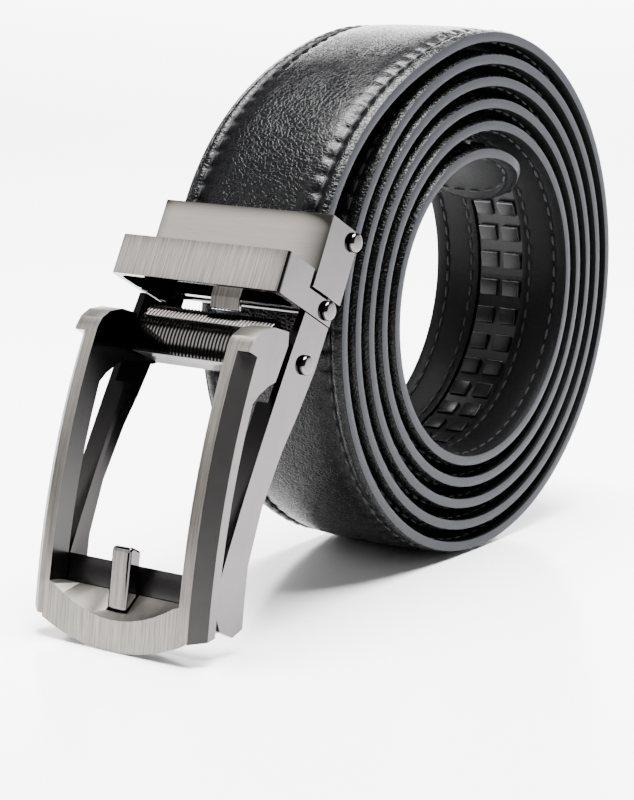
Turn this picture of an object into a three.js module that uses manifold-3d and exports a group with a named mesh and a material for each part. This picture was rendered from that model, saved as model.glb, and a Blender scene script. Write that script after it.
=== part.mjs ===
// Ratchet belt: a leather strap coiled on its rim, with an automatic buckle hanging at its outer end.
// Millimetres, +Z up. X runs across the strap, Y away from the buckle. It stands on the plane Z = 0.

import * as THREE from 'three';
import { mergeVertices } from 'three/addons/utils/BufferGeometryUtils.js';
import Module from 'manifold-3d';

const wasm = await Module();
wasm.setup();

// Strap and coil
const strapWidth = 35;
const strapEdge = 2.3;          // thickness along the two edges
const strapCrown = 0.55;        // how far the padded middle stands proud
const coilRadius = 60.1;        // centre line, before the first turn tightens
const turnPitch = 4.9;          // the radius lost in each turn
const coilOval = 0.025;         // a coil on its rim sags a little wider than tall
const leadAngle = 72;           // where the run from the clamp joins the coil
const tipAngle = 1940;          // five full turns and a bit, measured from nine o'clock
const droopFrom = 1800;         // from here the loose end sags away from the turn above it
const tipDroop = 3;
const tipLength = 19;           // the rounded end
const turnStep = 9;             // degrees between sections

// Adjustment track, sunk in the strap's inner side
const trackFrom = 1478;
const trackTo = 1832;
const trackWidth = 11.4;
const trackBase = 0.5;
const grooveDepth = 1.3;
const toothPitch = 6.8;
const toothLength = 4.4;
const toothHeight = 0.6;
const toothStep = 0.15;         // what is left of it at its low end
const toothWidth = 4.4;
const toothGap = 1.6;           // bare middle between the two columns

// Fits
const gap = 0.3;                // between pieces that touch on the real belt
const play = 0.45;              // between pieces that turn past each other

// Buckle, measured down the strap (s) and outward (d) from the clamp's top front edge
const buckleLean = 27.3;        // degrees from upright
const clampAhead = 5.7;         // the clamp's top front edge stands this far before the coil
const plate = 1.5;              // side plates
const strapPlay = 1.4;          // each side, between the strap and the plates
const clampHeight = 15;
const clampDepth = 11;
const frontPlate = 1.2;
const strapInset = 1.5;         // front of the clamp to the strap's outer face
const strapEndDown = 10.7;      // how far the strap reaches into the clamp
const jawThickness = 2.2;
const jawTop = 0.8;
const knuckleWall = 1.1;
const tongueStep = 0.4;         // the clamp's tongues lie inside its outline by this much
const pinRadius = 1.25;
const headRadius = 2.0;
const headHeight = 0.9;
const pinSides = 16;
const lobe = 2.5;               // metal round a pin hole, beyond the hole's centre
const clampPinDown = 2.2;
const clampPinBack = 9.2;
const hingePinDown = 17.4;
const hingePinBack = 7.2;
const leverPinDown = 29.5;
const leverPinBack = 5.0;

// Keeper loop
const keeperDown = 11.7;
const keeperHeight = 8.3;
const keeperDepth = 10.1;
const keeperWall = 1.2;
const keeperSetIn = 0.2;        // each side, narrower than the clamp
const keeperRound = 0.9;        // its front corners outside
const keeperRoundIn = 2.0;      // and inside
const lugDepth = 9.6;
const lugHeight = 4.4;

// Back frame
const armTopWidth = 9.1;
const armPlate = 1.6;
const flangeWidth = 2.6;
const flangeThick = 1.2;
const backBottom = 83.8;        // down to the corners of its foot
const crossbarTop = 75.2;
const crossbarDepth = 3.4;
const backSag = 3.2;            // how far its bottom edge bows down in the middle

// Front frame, the lever
const faceCrown = 14.7;         // how far its face stands out at the top
const faceTop = 31;             // where the face is parallel with the strap
const faceRadius = 146;         // the face's bow from top to bottom
const frameProud = 0.6;         // each side, wider than the clamp
const bevelWidth = 2.8;         // the slope between the brushed face and the side
const faceWidth = 2.5;
const armDepth = 5.2;
const barHeight = 6.6;
const outerSag = 4.2;
const innerCorner = 81.6;
const innerSag = 5.1;
const barBack = 80.6;           // the straight back edge of the bar's sloping facet
const earHeight = 16.2;         // the forward bend at the top of each arm
const faceShare = 0.43;         // where in that height the brushed face begins
const tongueWidth = 1.7;        // the tongues that carry the lever pin
const tongueRadius = 4.0;
const tongueSetIn = 0.9;
const edgeRound = 0.8;
const barSlant = 2.8;           // the bar's underside rises to its back edge, and lies flat on the floor
const ribRadius = 8.8;
const ribFrom = -52;
const ribTo = 26;
const ribHub = 3.6;
const quarter = 90;

// False prong and pawl
const prongWidth = 4.5;
const prongDepth = 3.6;
const prongLength = 12;
const prongSunk = 3;            // its foot below the window's lower corners
const prongSetBack = 1.3;       // below the frame's face
const pawlWidth = 7;
const pawlShift = 3;
const pawlThick = 1.0;
const pawlReach = 2.3;          // below the keeper
const pawlSlant = 0.7;          // its free end leans back toward the strap

const rad = THREE.MathUtils.degToRad;
const range = (from, to, steps) => Array.from(
  { length: steps + 1 },
  (_, k) => from + (to - from) * k / steps,
);
const buckleWidth = strapWidth + 2 * (strapPlay + plate);
const bodyHalf = buckleWidth / 2;
const keeperHalf = bodyHalf - keeperSetIn;
const keeperFoot = keeperDown + keeperHeight;
const frameHalf = bodyHalf + frameProud;
const faceHalf = frameHalf - bevelWidth;
const windowHalf = faceHalf - faceWidth;
const outerCorner = innerCorner + barHeight;
const holeRadius = pinRadius + gap;

// Materials
const leather = new THREE.MeshStandardMaterial({ color: 0x1c1c1f, roughness: 0.55, metalness: 0 });
const trackPlastic = new THREE.MeshStandardMaterial({ color: 0x2b2c30, roughness: 0.45, metalness: 0 });
const brushedSteel = new THREE.MeshStandardMaterial({ color: 0xb9b3ab, roughness: 0.35, metalness: 1 });
const polishedSteel = new THREE.MeshStandardMaterial({ color: 0xc9c6c6, roughness: 0.12, metalness: 1 });

// Solids

function toSolid(geometry) {
  const bare = geometry.clone();
  bare.deleteAttribute('normal');
  bare.deleteAttribute('uv');
  const merged = mergeVertices(bare, 1e-5);
  return new wasm.Manifold(new wasm.Mesh({
    numProp: 3,
    vertProperties: new Float32Array(merged.attributes.position.array),
    triVerts: new Uint32Array(merged.index.array),
  }));
}

function fromSolid(solid) {
  const mesh = solid.getMesh();
  const geometry = new THREE.BufferGeometry();
  geometry.setAttribute('position', new THREE.BufferAttribute(mesh.vertProperties, 3));
  geometry.setIndex(new THREE.BufferAttribute(mesh.triVerts, 1));
  geometry.computeVertexNormals();
  return geometry;
}

const join = (...parts) => parts.map(toSolid).reduce((sum, part) => sum.add(part));
const cutAll = (solid, ...tools) => tools.map(toSolid).reduce((rest, tool) => rest.subtract(tool), solid);

// A closed skin over a row of sections, each a ring of points with the same count.
function loft(rings) {
  const count = rings[0].length;
  const index = [];
  for (let k = 0; k < rings.length - 1; k += 1) {
    for (let i = 0; i < count; i += 1) {
      const a = k * count + i;
      const b = k * count + (i + 1) % count;
      index.push(a, b, b + count, a, b + count, a + count);
    }
  }
  index.push(...cap(rings[0], 0, false), ...cap(rings.at(-1), (rings.length - 1) * count, true));
  const geometry = new THREE.BufferGeometry();
  const positions = rings.flat().flatMap((p) => [p.x, p.y, p.z]);
  geometry.setAttribute('position', new THREE.Float32BufferAttribute(positions, 3));
  geometry.setIndex(index);
  return outward(geometry);
}

// Triangles over one flat ring, running the same way round as the ring when forward is true.
function cap(ring, first, forward) {
  const origin = ring[0];
  const along = ring[1].clone().sub(origin).normalize();
  const across = new THREE.Vector3();
  for (const p of ring) {
    const off = p.clone().sub(origin);
    off.addScaledVector(along, -off.dot(along));
    if (off.length() > across.length()) across.copy(off);
  }
  across.normalize();
  const flat = ring.map((p) => {
    const off = p.clone().sub(origin);
    return new THREE.Vector2(off.dot(along), off.dot(across));
  });
  const ringSign = Math.sign(THREE.ShapeUtils.area(flat));
  return THREE.ShapeUtils.triangulateShape(flat, []).flatMap(([a, b, c]) => {
    const sign = Math.sign(THREE.ShapeUtils.area([flat[a], flat[b], flat[c]]));
    const follows = sign === ringSign;
    return follows === forward ? [first + a, first + b, first + c] : [first + a, first + c, first + b];
  });
}

function outward(geometry) {
  const place = geometry.attributes.position;
  const index = geometry.index;
  const corner = (k) => new THREE.Vector3().fromBufferAttribute(place, index.getX(k));
  let volume = 0;
  for (let k = 0; k < index.count; k += 3) {
    volume += corner(k).dot(corner(k + 1).cross(corner(k + 2)));
  }
  if (volume < 0) turnOver(index);
  geometry.computeVertexNormals();
  return geometry;
}

function turnOver(index) {
  for (let k = 0; k < index.count; k += 3) {
    const b = index.getX(k + 1);
    index.setX(k + 1, index.getX(k + 2));
    index.setX(k + 2, b);
  }
}

function mirrored(geometry) {
  const copy = geometry.index ? geometry.clone() : mergeVertices(geometry);
  copy.scale(-1, 1, 1);
  return outward(copy);
}

// Buckle shapes are drawn from the side, by how far down and how far out each corner lies.
const at = (down, out) => new THREE.Vector2(-out, -down);
const SIDEWAYS = new THREE.Matrix4().makeBasis(
  new THREE.Vector3(0, 1, 0),
  new THREE.Vector3(0, 0, 1),
  new THREE.Vector3(1, 0, 0),
);

function across(outline, from, to, holes = []) {
  const shape = outline instanceof THREE.Shape ? outline : new THREE.Shape(outline);
  shape.holes.push(...holes);
  const geometry = new THREE.ExtrudeGeometry(shape, { depth: to - from, bevelEnabled: false });
  return geometry.applyMatrix4(SIDEWAYS).translate(from, 0, 0);
}

function circle(down, out, radius, sides = pinSides) {
  return Array.from({ length: sides }, (_, k) => {
    const turn = (k + 0.5) / sides * 2 * Math.PI;
    return at(down + radius * Math.sin(turn), out + radius * Math.cos(turn));
  });
}

const arc = (down, out, radius, from, to, steps) => Array.from({ length: steps + 1 }, (_, k) => {
  const turn = rad(from + (to - from) * k / steps);
  return at(down + radius * Math.sin(turn), out + radius * Math.cos(turn));
});

const block = (x0, x1, down0, down1, out0, out1) => across(
  [at(down0, out0), at(down1, out0), at(down1, out1), at(down0, out1)],
  x0,
  x1,
);
const bothSides = (geometry) => [geometry, mirrored(geometry)];
const through = (down, out) => across(circle(down, out, holeRadius), -buckleWidth, buckleWidth);
const clampHole = () => through(clampPinDown, -clampPinBack);
const hingeHole = () => through(hingePinDown, -hingePinBack);
const leverHole = () => through(leverPinDown, -leverPinBack);

// A pin with a domed head at each end; shares of the head's radius and height
const dome = [
  { radius: 0.00, height: 1.00 },
  { radius: 0.55, height: 0.82 },
  { radius: 0.87, height: 0.50 },
  { radius: 1.00, height: 0.00 },
];

function pin(down, out, half) {
  const head = dome.map(({ radius, height }) => [radius * headRadius, half + height * headHeight]);
  const right = [...head, [pinRadius, half]];
  const left = right.map(([radius, along]) => [radius, -along]);
  const points = [...left, ...right.reverse()].map(([radius, along]) => new THREE.Vector2(radius, along));
  const geometry = new THREE.LatheGeometry(points, pinSides);
  const spot = at(down, out);
  return join(geometry.rotateZ(-Math.PI / 2).translate(0, spot.x, spot.y));
}

// Clamp that bites the strap's end
const tongueOuter = keeperHalf - plate - gap;
const tongueInner = tongueOuter - plate;
const tongueTop = strapEndDown + play;
const tongueBack = tongueStep - clampDepth;
const lobeFront = lobe - hingePinBack;

function clampSolid() {
  const side = block(bodyHalf - plate, bodyHalf, 0, clampHeight, -clampDepth, 0);
  const tongueEnd = hingePinDown + lobe;
  const tongueShape = [
    at(tongueTop, tongueBack), at(tongueEnd, -hingePinBack - lobe),
    at(tongueEnd, lobeFront), at(tongueTop, lobeFront),
  ];
  const tongue = across(tongueShape, tongueInner, tongueOuter);
  const root = block(tongueInner, bodyHalf - plate / 2, tongueTop, clampHeight, tongueBack, lobeFront);
  const front = block(-bodyHalf, bodyHalf, 0, clampHeight, -frontPlate, 0);
  const body = join(front, ...bothSides(side), ...bothSides(tongue), ...bothSides(root));
  return cutAll(body, clampHole(), hingeHole());
}

const strapMiddle = -(strapInset + strapCrown + strapEdge / 2);
const strapInner = strapMiddle - strapEdge / 2;

function jawSolid() {
  const half = bodyHalf - plate - play;
  const bite = strapInner - gap;
  const press = block(-half, half, jawTop, strapEndDown, bite - jawThickness, bite);
  const knuckleRadius = pinRadius + knuckleWall;
  const knuckle = across(circle(clampPinDown, -clampPinBack, knuckleRadius), -half, half);
  const bridgeFrom = clampPinDown - pinRadius;
  const bridgeTo = clampPinDown + knuckleRadius;
  const bridge = block(-half, half, bridgeFrom, bridgeTo, -clampPinBack, bite - jawThickness / 2);
  return cutAll(join(press, knuckle, bridge), clampHole());
}

// Keeper loop with its two lugs
function keeperSolid() {
  const front = keeperDepth + gap;
  const ring = (inset, corner) => {
    const x = keeperHalf - inset;
    const y0 = -(front - inset);
    const y1 = -(gap + inset);
    const shape = new THREE.Shape();
    shape.moveTo(-x + corner, y0).lineTo(x - corner, y0);
    shape.absarc(x - corner, y0 + corner, corner, -Math.PI / 2, 0);
    shape.lineTo(x, y1 - corner / 2).lineTo(x - corner / 2, y1).lineTo(-x + corner / 2, y1);
    shape.lineTo(-x, y1 - corner / 2).lineTo(-x, y0 + corner);
    shape.absarc(-x + corner, y0 + corner, corner, Math.PI, 1.5 * Math.PI);
    return shape;
  };
  const outer = ring(0, keeperRound);
  outer.holes.push(ring(keeperWall, keeperRoundIn));
  const settings = { depth: keeperHeight, bevelEnabled: false, curveSegments: 3 };
  const loop = new THREE.ExtrudeGeometry(outer, settings);
  loop.translate(0, 0, -keeperFoot);
  const lugTop = keeperFoot - lugHeight;
  const lug = block(keeperHalf - plate, keeperHalf, lugTop, keeperFoot, -lugDepth, gap + keeperWall);
  return cutAll(join(loop, ...bothSides(lug)), hingeHole());
}

// Front frame, the lever that opens the pawl
const faceOut = (down) => faceCrown - (down - faceTop) ** 2 / (2 * faceRadius);
const earTop = leverPinDown - tongueRadius + play;
const faceFrom = earTop + faceShare * earHeight;
// Corners of the bend: shares of its height, and of the face's crown
const earFront = [
  { down: 0.00, out: 0.29 },
  { down: 0.05, out: 0.60 },
  { down: 0.16, out: 0.84 },
  { down: 0.29, out: 0.96 },
];
const earBack = [
  { down: 0.86, out: 0.53 },
  { down: 0.70, out: 0.38 },
  { down: 0.62, out: 0.265 },
  { down: 0.475, out: 0.25 },
  { down: 0.15, out: 0.22 },
];
const earPoint = ({ down, out }) => at(earTop + down * earHeight, out * faceCrown);

function armSolid() {
  const front = range(faceFrom, outerCorner, 9).map((down) => at(down, faceOut(down)));
  const backEdge = range(outerCorner - barSlant, earTop + earHeight, 7);
  const back = backEdge.map((down) => at(down, faceOut(down) - armDepth));
  const side = [...earFront.map(earPoint), ...front, ...back, ...earBack.map(earPoint)];
  const arm = across(side, windowHalf, frameHalf);
  const bevel = range(faceFrom + edgeRound, outerCorner + outerSag, 11).map((down) => [
    new THREE.Vector3(faceHalf - bevelWidth, -faceOut(down) - bevelWidth, -down),
    new THREE.Vector3(frameHalf + bevelWidth, -faceOut(down) + 2 * bevelWidth, -down),
    new THREE.Vector3(frameHalf + bevelWidth, -faceOut(down) - bevelWidth, -down),
  ]);
  return fromSolid(cutAll(toSolid(arm), loft(bevel)));
}

function tongueGeometry() {
  const round = arc(leverPinDown, -leverPinBack, tongueRadius, 270, 90, 8);
  const into = tongueRadius - leverPinBack + armDepth;
  const top = at(earTop + edgeRound, into);
  const bottom = at(earTop + 0.6 * earHeight, into);
  const from = windowHalf + tongueSetIn;
  return across([top, ...round, bottom], from, from + tongueWidth);
}

const barOuter = (x) => outerCorner + outerSag * (1 - (x / faceHalf) ** 2);
const barInner = (x) => innerCorner + innerSag * Math.max(0, 1 - (x / windowHalf) ** 2);

function barGeometry() {
  const reach = (faceHalf + windowHalf) / 2;
  const rings = range(-reach, reach, 14).map((x) => {
    const outer = barOuter(x);
    const inner = barInner(x);
    const back = outer - barSlant;
    return [
      new THREE.Vector3(x, -faceOut(outer), -outer),
      new THREE.Vector3(x, -faceOut(inner), -inner),
      new THREE.Vector3(x, -faceOut(barBack) + armDepth, -barBack),
      new THREE.Vector3(x, -faceOut(back) + armDepth, -back),
    ];
  });
  return loft(rings);
}

const prongOut = (down) => faceOut(down) - prongSetBack;
const prongFoot = innerCorner + prongSunk;
const prongTop = prongFoot - prongLength;

function prongOutline(grow) {
  const top = prongTop - grow;
  const foot = prongFoot + grow;
  return [
    at(top + edgeRound, prongOut(top) + grow), at(foot, prongOut(foot) + grow),
    at(foot, prongOut(foot) - prongDepth - grow), at(top, prongOut(top) - prongDepth - grow),
    at(top, prongOut(top) + grow - edgeRound),
  ];
}

const prongSolid = () => join(across(prongOutline(0), -prongWidth / 2, prongWidth / 2));

function frontFrameSolid() {
  const slot = across(prongOutline(gap), -prongWidth / 2 - gap, prongWidth / 2 + gap);
  const whole = join(...bothSides(armSolid()), ...bothSides(tongueGeometry()), barGeometry());
  return cutAll(whole, leverHole(), slot);
}

// A sector about the lever pin; its hub closes the sector behind the pin.
function ribbedBarSolid() {
  const half = windowHalf - play;
  const skin = arc(leverPinDown, -leverPinBack, ribRadius, ribFrom, ribTo, 12);
  const hub = arc(leverPinDown, -leverPinBack, ribHub, ribTo + quarter, ribFrom - quarter + 360, 8);
  return cutAll(join(across([...skin, ...hub], -half, half)), leverHole());
}

// Back frame, with its arms on edge and a bowed crossbar: shares of the foot's depth and the arm's width
const armRows = [
  { down: 0.242, front: -0.03, back: 1.03 },
  { down: 0.352, front: 0.05, back: 0.99 },
  { down: 0.471, front: 0.11, back: 0.82 },
  { down: 0.557, front: 0.15, back: 0.65 },
  { down: 0.700, front: 0.20, back: 0.52 },
  { down: 0.835, front: 0.21, back: 0.62 },
  { down: 0.905, front: 0.20, back: 0.83 },
  { down: 0.972, front: -0.02, back: 1.07 },
  { down: 1.000, front: -0.30, back: 0.80 },
];
const armDown = (row) => row.down * backBottom;
const behindFrame = (down) => faceOut(down) - armDepth - play;
const armFront = (row) => Math.min(row.front * armTopWidth, behindFrame(armDown(row)));

function backFrameSolid() {
  const front = armRows.map((row) => at(armDown(row), armFront(row)));
  const back = armRows.map((row) => at(armDown(row), -row.back * armTopWidth)).reverse();
  const arm = across([...front, ...back], keeperHalf - armPlate, keeperHalf);
  const edge = armRows.slice(2, 8);
  const inner = edge.map((row) => at(armDown(row), armFront(row) - flangeThick)).reverse();
  const lip = [...edge.map((row) => at(armDown(row), armFront(row))), ...inner];
  const lipFrom = keeperHalf - armPlate - flangeWidth;
  const flange = across(lip, lipFrom, keeperHalf - armPlate / 2);
  const tongueOut = tongueInner - gap;
  const tongueIn = windowHalf;
  const webTop = keeperFoot + play;
  const webEnd = webTop + 2 * armPlate;
  const tongue = block(tongueIn, tongueOut, hingePinDown - lobe, webEnd, -armTopWidth, lobeFront);
  const web = block(tongueIn, keeperHalf, webTop, webEnd, -armTopWidth, lobeFront);
  const low = backBottom + backSag;
  const barFront = range(crossbarTop, low, 4);
  const barShape = [
    ...barFront.map((down) => at(down, Math.min(behindFrame(down), 0.2 * armTopWidth))),
    ...barFront.map((down) => at(down, behindFrame(down) - crossbarDepth)).reverse(),
  ];
  const inside = keeperHalf - armPlate / 2;
  const bar = toSolid(across(barShape, -inside, inside));
  const bow = range(-inside, inside, 12).map((x) => {
    const down = backBottom + backSag * (1 - (x / inside) ** 2);
    return new THREE.Vector2(x, -down);
  });
  bow.push(new THREE.Vector2(inside, 0), new THREE.Vector2(-inside, 0));
  const depth = 2 * buckleWidth;
  const outline = new THREE.ExtrudeGeometry(new THREE.Shape(bow), { depth, bevelEnabled: false });
  const bowed = bar.intersect(toSolid(outline.rotateX(Math.PI / 2).translate(0, depth / 2, 0)));
  const sides = [arm, flange, tongue, web].flatMap(bothSides);
  return cutAll(join(...sides).add(bowed), hingeHole(), leverHole());
}

// Pawl tab that catches the track, hanging behind the keeper's back wall
function pawlSolid() {
  const back = gap + keeperWall + gap;
  const upper = keeperDown + keeperWall;
  const end = keeperFoot + pawlReach;
  const outline = [
    at(upper, back), at(keeperFoot, back), at(end, back - pawlSlant),
    at(end, back - pawlSlant + pawlThick), at(keeperFoot, back + pawlThick), at(upper, back + pawlThick),
  ];
  return join(across(outline, pawlShift - pawlWidth / 2, pawlShift + pawlWidth / 2));
}

// Buckle group: its own -Z runs down the strap and its -Y points outward
const buckle = new THREE.Group();
buckle.rotation.x = -rad(buckleLean);

function add(group, name, geometry, material) {
  const mesh = new THREE.Mesh(geometry, material);
  mesh.name = name;
  group.add(mesh);
}

add(buckle, 'clamp', fromSolid(clampSolid()), brushedSteel);
add(buckle, 'clamp_jaw', fromSolid(jawSolid()), polishedSteel);
add(buckle, 'clamp_pin', fromSolid(pin(clampPinDown, -clampPinBack, bodyHalf + gap)), polishedSteel);
add(buckle, 'keeper', fromSolid(keeperSolid()), brushedSteel);
add(buckle, 'hinge_pin', fromSolid(pin(hingePinDown, -hingePinBack, keeperHalf + gap)), polishedSteel);
add(buckle, 'pawl', fromSolid(pawlSolid()), polishedSteel);
add(buckle, 'back_frame', fromSolid(backFrameSolid()), polishedSteel);
add(buckle, 'lever_pin', fromSolid(pin(leverPinDown, -leverPinBack, keeperHalf + gap)), polishedSteel);
add(buckle, 'front_frame', fromSolid(frontFrameSolid()), brushedSteel);
add(buckle, 'ribbed_bar', fromSolid(ribbedBarSolid()), polishedSteel);
add(buckle, 'prong', fromSolid(prongSolid()), brushedSteel);

// Coil: nine o'clock is angle 0, and the strap runs over the top and winds inward
function spiral(degrees) {
  const turn = rad(degrees);
  const loose = Math.max(0, (degrees - droopFrom) / (tipAngle - droopFrom));
  const round = coilRadius - turnPitch * degrees / 360 - tipDroop * loose ** 2;
  const radius = round * (1 + coilOval * Math.cos(2 * turn));
  return new THREE.Vector2(-radius * Math.cos(turn), radius * Math.sin(turn));
}

// The buckle's lowest edge and the coil's outer turn stand on the same floor.
const bottom = 270;
const floor = spiral(bottom).y - strapEdge / 2 - strapCrown;
buckle.updateMatrixWorld(true);
const buckleLow = new THREE.Box3().setFromObject(buckle, true).min.z;
buckle.position.set(0, -(coilRadius + clampAhead), floor - buckleLow);
buckle.updateMatrixWorld(true);

const inClamp = (down) => {
  const spot = new THREE.Vector3(0, -strapMiddle, -down).applyMatrix4(buckle.matrixWorld);
  return new THREE.Vector2(spot.y, spot.z);
};

// Centre line from the end in the clamp to where the tip's rounding starts
const leadHandle = 0.36;        // share of the lead's length that each end runs on straight
const tipSpread = rad(1) * (coilRadius - turnPitch * tipAngle / 360);
const tipFrom = tipAngle - tipLength / tipSpread;

function strapLine() {
  const start = inClamp(-jawTop);
  const end = spiral(leadAngle);
  const up = start.clone().sub(inClamp(0)).normalize();
  const onward = spiral(leadAngle + 1).sub(spiral(leadAngle - 1)).normalize();
  const handle = leadHandle * start.distanceTo(end);
  const lead = new THREE.CubicBezierCurve(
    start,
    start.clone().addScaledVector(up, handle),
    end.clone().addScaledVector(onward, -handle),
    end,
  );
  const line = [inClamp(strapEndDown), inClamp(strapEndDown / 2), ...lead.getPoints(10).slice(0, -1)];
  const turns = Math.floor((tipFrom - leadAngle) / turnStep);
  line.push(...range(leadAngle, leadAngle + (turns - 1) * turnStep, turns - 1).map(spiral));
  return line;
}

// Stations hold a place on the centre line, the outward direction and the half width there.
const tipShares = [0, 0.25, 0.45, 0.62, 0.76, 0.87, 0.95, 0.985];
const tipSquareness = 2.3;

function strapStations() {
  const line = strapLine();
  const tip = tipShares.map((share) => spiral(tipFrom + (tipAngle - tipFrom) * share));
  const places = [...line, ...tip];
  return places.map((place, k) => {
    const before = places[Math.max(0, k - 1)];
    const after = places[Math.min(places.length - 1, k + 1)];
    const along = after.clone().sub(before).normalize();
    const share = k < line.length ? 0 : tipShares[k - line.length];
    const half = strapWidth / 2 * Math.sqrt(1 - share ** tipSquareness);
    return { place, out: new THREE.Vector2(-along.y, along.x), half };
  });
}

const onStation = (station, x, out) => new THREE.Vector3(
  x,
  station.place.x + station.out.x * out,
  station.place.y + station.out.y * out,
);

// Shares of the half width and of the crown, round the strap from one inner corner to the other
const strapSection = [
  { across: -1.00, inner: 1, crown: 0.00 },
  { across: -1.00, inner: 0, crown: 0.00 },
  { across: -0.72, inner: 0, crown: 0.40 },
  { across: -0.38, inner: 0, crown: 0.85 },
  { across: 0.00, inner: 0, crown: 1.00 },
  { across: 0.38, inner: 0, crown: 0.85 },
  { across: 0.72, inner: 0, crown: 0.40 },
  { across: 1.00, inner: 0, crown: 0.00 },
  { across: 1.00, inner: 1, crown: 0.00 },
];

const turnStation = (degrees) => {
  const along = spiral(degrees + 1).sub(spiral(degrees - 1)).normalize();
  return { place: spiral(degrees), out: new THREE.Vector2(-along.y, along.x) };
};
const trackAngles = range(trackFrom, trackTo, Math.round((trackTo - trackFrom) / turnStep));
const strapInside = -strapEdge / 2;
const grooveFloor = strapInside + grooveDepth;

function rectangleRow(angles, half, low, high) {
  return angles.map((degrees) => {
    const station = turnStation(degrees);
    const corners = [[-half, low], [-half, high], [half, high], [half, low]];
    return corners.map(([x, out]) => onStation(station, x, out));
  });
}

function strapSolid() {
  const rings = strapStations().map((station) => strapSection.map((row) => {
    const out = row.inner ? strapInside : strapEdge / 2 + row.crown * strapCrown;
    return onStation(station, row.across * station.half, out);
  }));
  const groove = rectangleRow(trackAngles, trackWidth / 2 + gap, strapInside - grooveDepth, grooveFloor);
  return cutAll(toSolid(loft(rings)), loft(groove));
}

// Two columns of saw teeth on a thin base
const toothCrest = 0.25;        // share of a tooth's length before it slopes down
const trackEnds = 0.3;          // share of a pitch before the first tooth
const bury = 0.2;               // teeth start this far inside the base

function trackSolid() {
  const clear = gap / tipSpread;
  const first = trackFrom + clear;
  const last = trackTo - clear;
  const top = grooveFloor - gap;
  const low = top - trackBase;
  const angles = [first, ...trackAngles.slice(1, -1), last];
  let solid = toSolid(loft(rectangleRow(angles, trackWidth / 2, low, top)));
  const spread = rad(1) * (coilRadius - turnPitch * (trackFrom + trackTo) / 2 / 360);
  const count = Math.floor((last - first) * spread / toothPitch);
  const centre = (toothGap + toothWidth) / 2;
  for (let k = 0; k < count; k += 1) {
    const from = first + (k + trackEnds) * toothPitch / spread;
    const tooth = [0, toothCrest, 1].map((share) => from + share * toothLength / spread);
    const [start, crest, end] = tooth.map(turnStation);
    for (const side of [-centre, centre]) {
      const rings = [side - toothWidth / 2, side + toothWidth / 2].map((x) => [
        onStation(start, x, low + bury),
        onStation(start, x, low - toothHeight),
        onStation(crest, x, low - toothHeight),
        onStation(end, x, low - toothStep),
        onStation(end, x, low + bury),
      ]);
      solid = solid.add(toSolid(loft(rings)));
    }
  }
  return solid;
}

const belt = new THREE.Group();
add(belt, 'strap', fromSolid(strapSolid()), leather);
add(belt, 'adjustment_track', fromSolid(trackSolid()), trackPlastic);
belt.add(buckle);

// The origin is the middle of the footprint.
belt.updateMatrixWorld(true);
const extent = new THREE.Box3().setFromObject(belt, true);
const middle = extent.getCenter(new THREE.Vector3());
belt.position.set(-middle.x, -middle.y, -extent.min.z);
belt.updateMatrixWorld(true);

export default belt;
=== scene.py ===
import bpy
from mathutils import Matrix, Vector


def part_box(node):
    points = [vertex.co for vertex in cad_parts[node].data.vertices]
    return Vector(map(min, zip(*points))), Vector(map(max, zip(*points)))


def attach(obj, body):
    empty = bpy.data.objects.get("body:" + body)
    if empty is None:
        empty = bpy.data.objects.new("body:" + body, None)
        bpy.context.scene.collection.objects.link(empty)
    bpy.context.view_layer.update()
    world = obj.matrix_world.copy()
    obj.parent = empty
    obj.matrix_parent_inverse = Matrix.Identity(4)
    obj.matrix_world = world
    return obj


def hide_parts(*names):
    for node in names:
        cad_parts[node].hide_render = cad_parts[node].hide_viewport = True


bl_info = {
    "name": "Ratchet Belt",
    "version": (1, 0, 0),
    "blender": (4, 5, 0),
    "location": "3D View > Sidebar > Belt",
    "description": "Dresses the packed ratchet belt and sets it on its stage",
    "category": "Object",
}

import math

import bpy
import numpy as np
from bpy.props import FloatProperty, FloatVectorProperty, IntProperty, PointerProperty
from mathutils import Matrix, Vector

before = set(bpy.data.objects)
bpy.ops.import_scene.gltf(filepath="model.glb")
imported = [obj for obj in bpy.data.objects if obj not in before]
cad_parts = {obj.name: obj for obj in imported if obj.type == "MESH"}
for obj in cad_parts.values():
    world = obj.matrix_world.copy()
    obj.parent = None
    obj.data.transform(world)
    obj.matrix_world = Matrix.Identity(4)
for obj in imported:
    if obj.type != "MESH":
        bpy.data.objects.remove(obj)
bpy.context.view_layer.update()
MM = 0.001

# The part's own sizes, in metres, and its angles around the coil, in degrees
STRAP_HALF = 17.5 * MM
STRAP_EDGE = 1.15 * MM           # half the thickness along the edges
STRAP_CROWN = 0.55 * MM
PADDING = 0.75 * MM              # the leather's own swell, a little above the solid's
COIL_RADIUS = 60.1 * MM
TURN_PITCH = 4.9 * MM
COIL_OVAL = 0.025                # the share by which its sag widens and lowers the coil
LEAD_ANGLE = 72                  # where the strap from the clamp joins the coil
TIP_ANGLE = 1940
TIP_LENGTH = 19 * MM
TIP_ROUND = 2.3                  # the power of the tip's outline, 2 being an ellipse
DROOP_FROM = 1800                # from here the loose end sags away from the turn above it
TIP_DROOP = 3 * MM
TRACK_FROM = 1478
TRACK_TO = 1832
TRACK_HALF = 5.7 * MM
GROOVE_DEPTH = 1.3 * MM
TOOTH_PITCH = 6.8 * MM
TOOTH_LENGTH = 3.9 * MM
TOOTH_WIDTH = 4.4 * MM
TOOTH_ASIDE = 3.0 * MM           # from the track's middle to each column's
TOOTH_PROUD = 0.35 * MM          # above the lining
TOOTH_FALL = 0.45 * MM           # how much lower a tooth is at its far end
TOOTH_ROUND = 0.24 * MM
GAP = 0.3 * MM
GROOVE_HALF = TRACK_HALF + GAP
CLAMP_INSET = 1.5 * MM           # from the clamp's front face to the strap in it
CLAMP_REACH = COIL_RADIUS + 5.7 * MM
HINGE_PIN = (17.4 * MM, -7.2 * MM)   # down the strap, and out from it
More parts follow.
